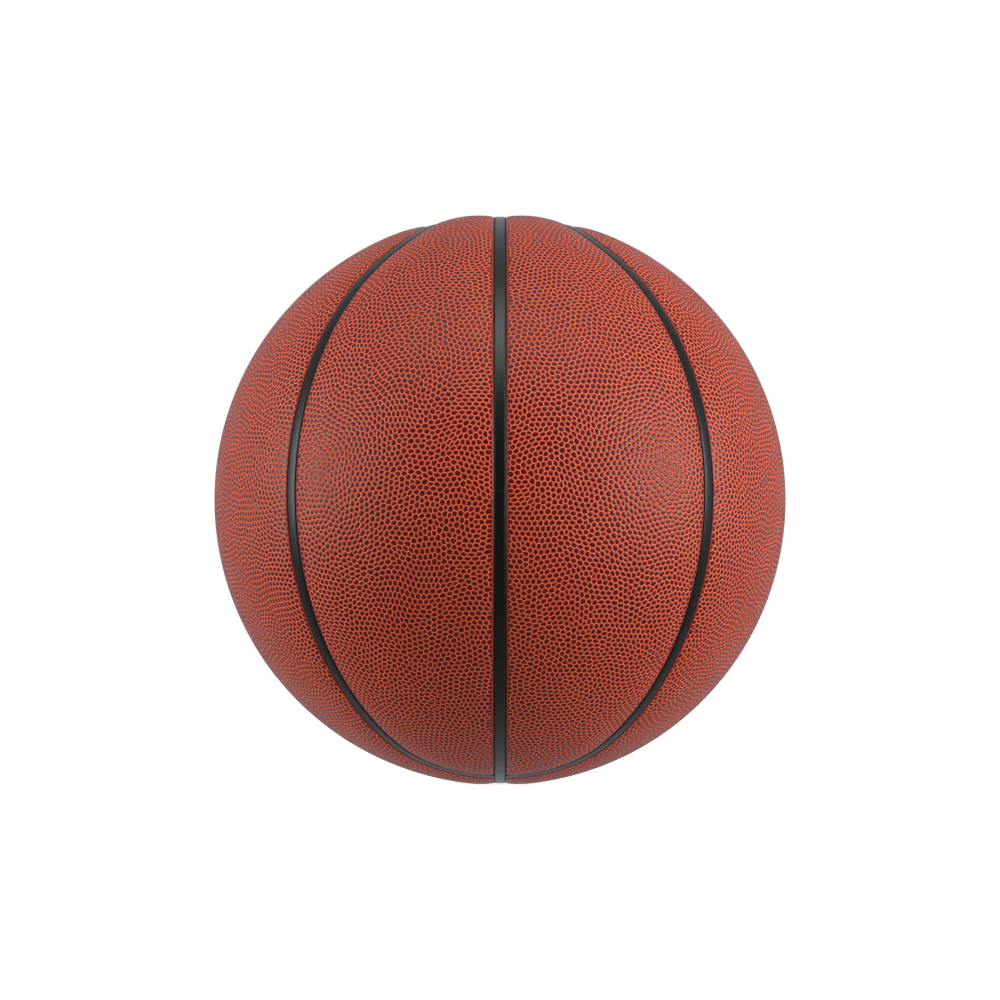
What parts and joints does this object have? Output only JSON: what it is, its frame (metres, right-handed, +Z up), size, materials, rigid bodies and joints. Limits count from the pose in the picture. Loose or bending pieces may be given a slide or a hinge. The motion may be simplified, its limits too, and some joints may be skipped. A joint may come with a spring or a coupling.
{
  "type": "basketball",
  "caption": "Laminated indoor basketball with pebbled leather panels between black rubber seam strips, and an inflation valve with a pull-out plug.",
  "frame": {"origin": "centre of the ball", "axes": "+Z up along the centre strip's plane, +X to the right of the pictured side, -Y out of the middle of the pictured side"},
  "size_m": [0.2404, 0.2404, 0.24],
  "materials": {
    "cover_leather": "pebbled composite leather, reddish brown tops over orange valleys, satin",
    "foam": "closed-cell foam, matte",
    "strip_rubber": "black rubber, satin",
    "carcass_rubber": "moulded rubber, matte",
    "winding_thread": "wound nylon thread set in latex",
    "bladder_rubber": "butyl rubber, smooth",
    "valve_rubber": "soft moulded rubber, satin"
  },
  "bodies": {
    "ball": {"bladder": "bladder_rubber", "carcass": "carcass_rubber", "centre_strip_lower": "strip_rubber", "centre_strip_upper": "strip_rubber", "cover_panel_centre_front_left": "cover_leather", "cover_panel_centre_front_right": "cover_leather", "cover_panel_centre_rear_left": "cover_leather", "cover_panel_centre_rear_right": "cover_leather", "cover_panel_side_front_left": "cover_leather", "cover_panel_side_front_right": "cover_leather", "cover_panel_side_rear_left": "cover_leather", "cover_panel_side_rear_right": "cover_leather", "curve_strip_front_left": "strip_rubber", "curve_strip_front_right": "strip_rubber", "curve_strip_rear_left": "strip_rubber", "curve_strip_rear_right": "strip_rubber", "foam_backing_centre_front_left": "foam", "foam_backing_centre_front_right": "foam", "foam_backing_centre_rear_left": "foam", "foam_backing_centre_rear_right": "foam", "foam_backing_side_front_left": "foam", "foam_backing_side_front_right": "foam", "foam_backing_side_rear_left": "foam", "foam_backing_side_rear_right": "foam", "side_strip_left": "strip_rubber", "side_strip_right": "strip_rubber", "thread_winding": "winding_thread", "valve_barrel": "valve_rubber"},
    "plug": {"valve_plug": "valve_rubber"}
  },
  "joints": [
    {"name": "plug_pull", "type": "slide", "parent": "ball", "child": "plug", "axis": [0.3827, 0.9239, 0], "range_m": [0, 0.022]}
  ]
}
